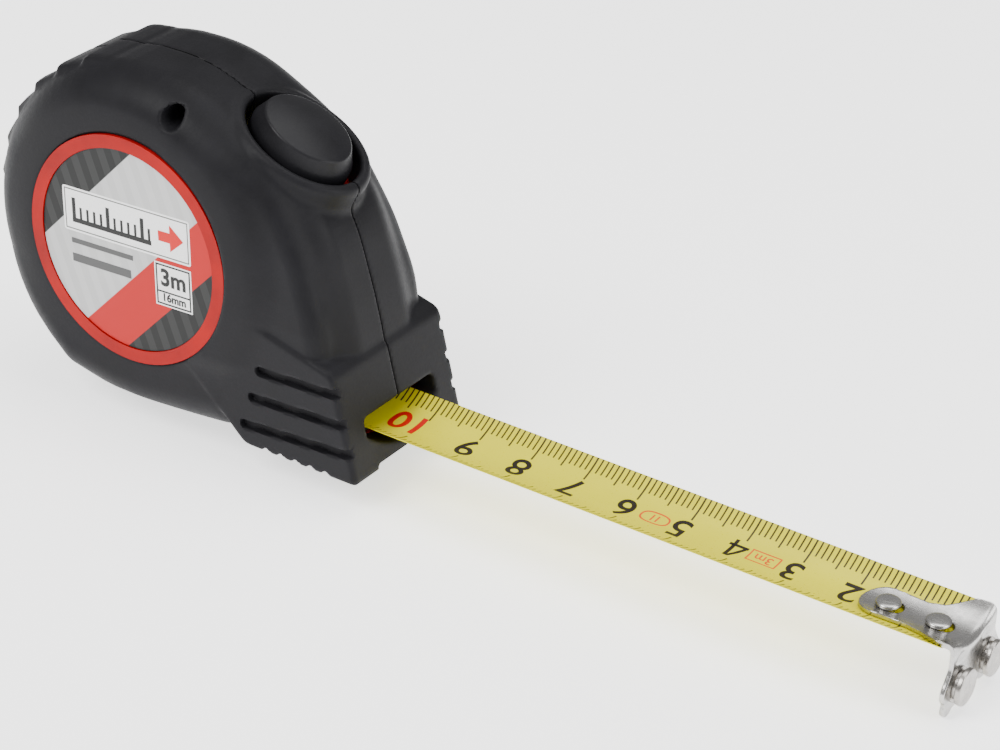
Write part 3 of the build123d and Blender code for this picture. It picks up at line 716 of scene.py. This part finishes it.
def stamp(outline, hole=None):
    """Thin solid mesh of an outline, or of the band between an outline and a hole with as many points."""
    shape = bmesh.new()
    rings = []
    for w in (-0.5, 0.5):
        rings.append([shape.verts.new((*p, w)) for p in outline])
        if hole:
            rings.append([shape.verts.new((*p, w)) for p in hole])
    count = len(outline)
    if hole:
        for a, b in ((0, 1), (2, 3), (0, 2), (1, 3)):
            for k in range(count):
                n = (k + 1) % count
                shape.faces.new((rings[a][k], rings[a][n], rings[b][n], rings[b][k]))
    else:
        shape.faces.new(rings[0][::-1])
        shape.faces.new(rings[1])
        for k in range(count):
            n = (k + 1) % count
            shape.faces.new((rings[0][k], rings[0][n], rings[1][n], rings[1][k]))
    bmesh.ops.recalc_face_normals(shape, faces=shape.faces)
    mesh = bpy.data.meshes.new("stamp")
    shape.to_mesh(mesh)
    shape.free()
    return mesh


def laid(mesh, place, slices=()):
    """Points and faces of a flat mark, sliced along its height and carried to its place."""
    shape = bmesh.new()
    shape.from_mesh(mesh)
    for level in slices:
        bmesh.ops.bisect_plane(
            shape, geom=shape.verts[:] + shape.edges[:] + shape.faces[:],
            plane_co=(0, level, 0), plane_no=(0, 1, 0))
    shape.verts.ensure_lookup_table()
    points = [place(*v.co) for v in shape.verts]
    faces = [[v.index for v in face.verts] for face in shape.faces]
    shape.free()
    bpy.data.meshes.remove(mesh)
    return points, faces


def gather(name, marks, smooth=False):
    """One object from several marks, each given as ((points, faces), material)."""
    points, faces, kinds, materials = [], [], [], []
    for (mark_points, mark_faces), material in marks:
        if material not in materials:
            materials.append(material)
        faces += [[k + len(points) for k in face] for face in mark_faces]
        kinds += [materials.index(material)] * len(mark_faces)
        points += mark_points
    obj = make_mesh(name, points, faces, materials, smooth=smooth)
    obj.data.polygons.foreach_set("material_index", kinds)
    return obj


FIGURE = 4.9                                        # height of the blade's figures
INK_LIFT = 0.022                                    # how far the ink stands over the lacquer
SLICES = [0.4 * k for k in range(-8, 9)]


def on_blade(along, across):
    """Carries a mark to the blade's hollow side: it reads towards -X, with its top towards -Y."""
    def place(right, up, out):
        x = HOOK_X - along - right
        return blade_point(x, across - up, BLADE_R - BLADE_T - INK_LIFT * (out + 0.3))
    return place


def figure(number):
    """A centimetre figure. The 10 is bold, and stands past its mark."""
    centre = 10 * number + (2.4 if number == 10 else 0.5)
    across = 1.05 if number == 10 else 0.4
    weight = 0.13 if number == 10 else 0.07
    return laid(glyphs(str(number), FIGURE, weight), on_blade(centre, across), SLICES)


def figure_four():
    """The open figure 4, from three strokes."""
    low, high = -FIGURE / 2, FIGURE / 2
    stem, beam = bar(0.75, 0, 0.62, FIGURE), bar(-0.1, low + 1.35, 3.4, 0.6)
    slope = [(-1.8, low + 1.35), (-1.15, low + 1.35), (0.75, high), (0.1, high)]
    return [laid(stamp(stroke), on_blade(40.5, 0.4), SLICES) for stroke in (stem, beam, slope)]


near_marks = [(figure(n), INK_DARK) for n in (2, 3, 5, 6)]
near_marks += [(stroke, INK_DARK) for stroke in figure_four()]

CLASS_ALONG, LENGTH_ALONG = 55.1, 35.6              # accuracy class in an oval, and length in a box
class_oval = rounded(bar(0, 0, 5.2, 3.2), 2.3, 6)
class_hole = rounded(bar(0, 0, 4.6, 2.6), 2.0, 6)
class_marks = [stamp(class_oval, class_hole)] + [stamp(bar(u, 0, 0.28, 1.7)) for u in (-0.45, 0.45)]
near_marks += [(laid(mark, on_blade(CLASS_ALONG, 0.5), SLICES), INK_ORANGE) for mark in class_marks]
length_marks = [stamp(bar(0, 0, 5.2, 3.1), bar(0, 0, 4.7, 2.6)), glyphs("3m", 1.8, 0.02)]
near_marks += [(laid(mark, on_blade(LENGTH_ALONG, 0.6), SLICES), INK_ORANGE) for mark in length_marks]
near_print = gather("blade_figures_near", near_marks)
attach(near_print, "blade")

far_marks = [(figure(n), INK_DARK) for n in (7, 8, 9)] + [(figure(10), INK_RED)]
far_print = gather("blade_figures_far", far_marks)
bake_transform(far_print)

# ------------------------------------------------------------------ hook
TAB_R = BLADE_R - BLADE_T - 0.03                    # underside of the dished tab
TAB_REAR = HOOK_LOW[0]
NECK_HALF = 7.1
BEND_R = 0.9
RIVET_X = (RIVET_LOW[0] + 2.0, RIVET_HIGH[0] - 2.0)
MAGNET_Y = MAGNET_HIGH[1] - 3.0
MAGNET_Z = (MAGNET_LOW[2] + MAGNET_HIGH[2]) / 2


def tab_outline():
    """The tab seen from above: rounded rear end, waist and flared neck."""
    rear = [(TAB_REAR + 3.9 + 3.9 * cos(radians(a)), 3.9 * sin(radians(a))) for a in range(90, 271, 15)]
    side = [(139.0, -3.65), (141.6, -4.3), (143.8, -5.8), (145.4, -6.9), (147.0, -NECK_HALF), (147.6, -12)]
    front = [(152, -12), (152, 12)]
    return rear + side + front + [(x, -y) for x, y in reversed(side)]


TAB = tab_outline()


def hook_sheet(x, y, z):
    """The bent and punched steel sheet of the hook."""
    half = HOOK_T / 2
    middle = HOOK_X + half
    over = TAB_R - half - np.hypot(y, z - ARC_Z)    # height over the tab's middle surface
    u, v = x - (middle - BEND_R), over + BEND_R
    bend = np.where((u > 0) & (v > 0), np.hypot(u, v) - BEND_R, np.where(u > v, x - middle, over))
    sheet = np.abs(bend) - half
    width = np.abs(y)
    plate = np.maximum(width - NECK_HALF, -1.0 - z)
    plate = join(plate, np.hypot(width - MAGNET_Y, z - MAGNET_Z) - 3.9, 1.0)
    plate = join(plate, np.hypot(width - 7.5, z + 0.4) - 1.7, 0.6)
    plate = join(plate, np.hypot(width - 7.0, z + 3.3) - 1.5, 0.6)
    sheet = meet(sheet, plate, 0.16)
    sheet = meet(sheet, outline_distance(x, y, TAB), 0.16)
    for rivet_x in RIVET_X:
        along = np.clip(x - rivet_x, 0, 0.9)
        slot = np.maximum(np.hypot(x - rivet_x - along, y) - 1.6, 3.0 - z)
        sheet = cut(sheet, slot, 0.2)
    dimple = np.sqrt((x - middle - 1.0) ** 2 + (width - 4.2) ** 2 / 5 + (z - 4.35) ** 2) - 0.95
    return cut(sheet, dimple, 0.4)


def hook():
    """The hook's sheet, from its field."""
    points, quads = sculpt(
        hook_sheet, (TAB_REAR - 0.5, HOOK_LOW[1] - 0.5, HOOK_LOW[2] - 0.5),
        (HOOK_X + HOOK_T + 0.5, HOOK_HIGH[1] + 0.5, HOOK_HIGH[2] + 0.5), 0.15)
    sheet = make_mesh("hook_sheet", points, quads, [STEEL], sharp=55)
    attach(sheet, "hook")
    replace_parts(sheet, "hook")


hook()


def rivets():
    """Two rivets with flat-domed heads over the tab and formed ends under the blade."""
    marks = []
    low, high = RIVET_LOW[2], RIVET_HIGH[2]
    for rivet_x in RIVET_X:
        profile = [(0, low), (1.5, low)] + arc((1.5, low + 0.3), 0.3, -90, 0, 4)
        profile += [(1.8, low + 0.4), (1.2, low + 0.41), (1.2, high - 0.72), (1.9, high - 0.71)]
        profile += arc((1.6, high - 0.45), 0.42, -20, 75, 6)
        profile += [(1.3, high - 0.02), (0.7, high + 0.03), (0, high + 0.05)]
        marks.append((lathe(profile, 48, lambda u, v, h: (rivet_x + u, v, h)), STEEL))
    piece = gather("hook_rivet_heads", marks, smooth=True)
    piece.data.set_sharp_from_angle(angle=radians(35))
    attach(piece, "blade")
    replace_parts(piece, "hook_rivets")


def magnets():
    """Two round magnets in turned cups with a groove behind their faces."""
    marks = []
    base = HOOK_X + HOOK_T
    for y in (-MAGNET_Y, MAGNET_Y):
        profile = [(0, -0.1), (2.9, -0.1), (2.9, 0.18)] + arc((2.65, 0.4), 0.3, -30, -90, 3)
        profile += [(2.35, 0.2), (2.3, 0.75), (2.78, 0.86)] + arc((2.75, 1.1), 0.25, -60, 0, 4)
        profile += arc((2.75, 1.55), 0.25, 0, 80, 5) + [(2.5, 1.78), (1.2, 1.8), (0, 1.8)]
        marks.append((lathe(profile, 64, lambda u, v, h: (base + h, y + u, MAGNET_Z + v)), NICKEL))
    piece = gather("hook_magnet_cups", marks, smooth=True)
    piece.data.set_sharp_from_angle(angle=radians(35))
    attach(piece, "hook")
    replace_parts(piece, "hook_magnets")


rivets()
magnets()

# ------------------------------------------------------------------ labels
BAND_TURN = radians(44.3)                           # slope of the printed bands
LABEL_TURN = radians(2.7)                           # the labels are stuck on a little crooked


def label_film(name, mirrored):
    """Printed film: dark, pale, red and dark bands with faint stripes."""
    paint = Paint(name, Specular_IOR_Level=0.2)
    x, _, z = paint.split(paint.place)
    x = paint.math("MULTIPLY", x, -1.0 if mirrored else 1.0)
    z = paint.math("SUBTRACT", z, SPOOL_Z)
    slope = BAND_TURN + LABEL_TURN
    over = paint.math("ADD", paint.math("MULTIPLY", x, sin(slope)), paint.math("MULTIPLY", z, -cos(slope)))
    run = paint.math("ADD", paint.math("MULTIPLY", x, cos(slope)), paint.math("MULTIPLY", z, sin(slope)))
    stripe = paint.math("PINGPONG", paint.math("ADD", run, paint.math("MULTIPLY", over, 0.45)), 1.7)
    stripe = paint.span(stripe, 0.8, 0.86)
    clouds = paint.noise(12, 3)
    dark = paint.mix(stripe, (0.007, 0.0072, 0.007), (0.020, 0.0205, 0.020))
    pale = paint.mix(paint.math("MULTIPLY", stripe, 0.4), (0.48, 0.48, 0.475), (0.36, 0.36, 0.355))
    pale = paint.mix(paint.span(clouds, 0.35, 0.7, 0, 0.25), pale, (0.58, 0.58, 0.58))
    red = (0.44, 0.003, 0.003)

    def after(edge, a, b):
        return paint.mix(paint.span(over, edge - 0.05, edge + 0.05), a, b)

    tone = after(-11.3, dark, pale)
    tone = after(4.1, tone, red)
    tone = after(12.0, tone, dark)
    paint.set("Base Color", tone)
    paint.set("Roughness", paint.span(clouds, 0.3, 0.7, 0.28, 0.36))
    paint.bump(clouds, 0.01)
    return paint.material


def on_label(side, u, v, layer=1):
    """Carries a mark to a label: side -1 is the right one, seen from -Y."""
    def place(right, up, out):
        a, b = u + right, v + up
        x = a * cos(LABEL_TURN) - b * sin(LABEL_TURN)
        z = a * sin(LABEL_TURN) + b * cos(LABEL_TURN)
        return (-side * x, side * (-LABEL_Y + 0.012 * layer + 0.01 * out), SPOOL_Z + z)
    return place


def label_print(name, side):
    """Plate with a rule pictogram, and a box with the blade's length and width."""
    marks = []

    def put(mesh, u, v, colour, layer=1):
        marks.append((laid(mesh, on_label(side, u, v, layer)), colour))

    plate_u, plate_v, plate_w, plate_h = 0.1, 4.6, 25.8, 7.3
    put(stamp(rounded(bar(0, 0, plate_w + 0.7, plate_h + 0.7), 0.5)), plate_u, plate_v, INK_WHITE, 1)
    frame_line = stamp(bar(0, 0, plate_w, plate_h), bar(0, 0, plate_w - 0.4, plate_h - 0.4))
    put(frame_line, plate_u, plate_v, INK_GREY, 2)
    rule_left, rule_low = -11.3, plate_v - 2.3
    put(stamp(bar(0, 0, 16.6, 0.85)), rule_left + 8.3, rule_low + 0.42, INK_BLACK, 3)
    for tick in range(12):
        width, tall = (0.75, 3.6) if tick % 5 == 0 else (0.5, 2.1)
        tick_u, tick_v = rule_left + 0.4 + tick * 1.436, rule_low + 0.8 + tall / 2
        put(stamp(bar(0, 0, width, tall)), tick_u, tick_v, INK_BLACK, 3)
    arrow = [(-0.2, -2.4), (-0.2, -0.9), (-2.6, -0.9), (-2.6, 0.9), (-0.2, 0.9), (-0.2, 2.4), (2.6, 0)]
    put(stamp(arrow), 9.4, plate_v, INK_RED, 3)

    for line_u, line_v, line_w, line_h in ((-5.3, -1.1, 13.0, 0.9), (-5.6, -4.2, 12.4, 1.5)):
        put(stamp(bar(0, 0, line_w, line_h)), line_u, line_v, INK_GREY, 2)

    box_u, box_v, box_w, box_h = 9.45, -4.1, 7.1, 7.3
    put(stamp(bar(0, 0, box_w + 0.5, box_h + 0.5)), box_u, box_v, INK_WHITE, 1)
    put(stamp(bar(0, 0, box_w, box_h), bar(0, 0, box_w - 0.6, box_h - 0.6)), box_u, box_v, INK_BLACK, 2)
    put(stamp(bar(0, 0, box_w - 0.4, 0.3)), box_u, box_v - 1.3, INK_BLACK, 2)
    put(glyphs("3m", 2.9, 0.14), box_u, box_v + 1.15, INK_BLACK, 3)
    put(glyphs("16mm", 1.35, 0.07), box_u, box_v - 2.35, INK_BLACK, 3)
    piece = gather(f"{name}_print", marks)
    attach(piece, "case")


label_print("label_right", -1)
label_print("label_left", 1)

# ------------------------------------------------------------------ finish of the CAD nodes
SLOT_FINISH = {
    "rubber": RUBBER, "red_plastic": RED, "dark_plastic": DARK, "white_plastic": WHITE,
    "liner_plastic": LINER, "blade_yellow": LACQUER, "hook_steel": STEEL, "magnet_nickel": NICKEL,
    "zinc_steel": ZINC, "spring_steel": SPRING, "pad_rubber": PAD,
}
NODE_FINISH = {
    "label_right": label_film("label_film_right", False),
    "label_left": label_film("label_film_left", True),
}
for subpart in frame["record"]["subparts"]:
    name = subpart["node"]
    obj = frame["nodes"][name]
    obj.data.materials.clear()
    obj.data.materials.append(NODE_FINISH.get(name) or SLOT_FINISH[subpart["material_slot"]])


# ------------------------------------------------------------------ floor, light and camera
FLOOR_GAP = 0.05                                    # between the hook's tip and the floor


def floor():
    """Pale paper that glows a little, level with the hook's tip."""
    mesh = bpy.data.meshes.new("floor")
    reach, level = 6.0, (HOOK_LOW[2] - FLOOR_GAP) * MM
    mesh.from_pydata(
        [(-reach, -reach, level), (reach, -reach, level), (reach, reach, level), (-reach, reach, level)],
        [], [(0, 1, 2, 3)])
    paint = Paint("floor_paper")
    tone = paint.mix(paint.noise(60, 2), (0.93, 0.93, 0.93), (0.95, 0.95, 0.95))
    paint.set("Base Color", tone)
    paint.set("Roughness", 0.9)
    paint.set("Emission Color", (1.0, 1.0, 1.0))
    paint.set("Emission Strength", 1.5)
    mesh.materials.append(paint.material)
    obj = bpy.data.objects.new("floor", mesh)
    bpy.context.scene.collection.objects.link(obj)


def area_light(name, place, target, size, power, colour=(1, 1, 1)):
    """Soft square light at a place, turned to a target, in metres."""
    light = bpy.data.lights.new(name, "AREA")
    light.shape = "RECTANGLE"
    light.size, light.size_y = size
    light.energy = power
    light.color = colour
    obj = bpy.data.objects.new(name, light)
    obj.location = place
    obj.rotation_euler = (Vector(target) - Vector(place)).to_track_quat("-Z", "Y").to_euler()
    bpy.context.scene.collection.objects.link(obj)


def studio():
    """White surroundings with a key light, a light from above and a fill from the front."""
    world = bpy.data.worlds.new("studio")
    world.use_nodes = True
    background = world.node_tree.nodes["Background"]
    background.inputs["Color"].default_value = (1.0, 1.0, 1.0, 1.0)
    background.inputs["Strength"].default_value = 0.42
    bpy.context.scene.world = world
    middle = (0.04, 0, 0.03)
    area_light("key", (-0.25, -0.55, 0.75), middle, (0.5, 0.5), 9)
    area_light("top", (0.15, 0.25, 0.95), middle, (0.9, 0.6), 7)
    area_light("fill", (0.75, 0.05, 0.35), middle, (0.4, 0.5), 4)


def camera():
    """View along the photograph's direction, from in front of the right side."""
    azimuth, elevation, roll = radians(32.593), radians(29.521), radians(2.60)
    target = Vector((63.31, 0.0, 20.256)) * MM
    distance = 499.7 * MM
    turn = (
        Matrix.Rotation(azimuth, 4, "Z")
        @ Matrix.Rotation(pi / 2 - elevation, 4, "X")
        @ Matrix.Rotation(roll, 4, "Z")
    )
    data = bpy.data.cameras.new("camera")
    data.lens = 113.75
    data.sensor_width = 36.0
    data.clip_start = 0.01
    obj = bpy.data.objects.new("camera", data)
    obj.matrix_world = Matrix.Translation(target + turn.col[2].xyz * distance) @ turn
    bpy.context.scene.collection.objects.link(obj)
    bpy.context.scene.camera = obj


floor()
studio()
camera()
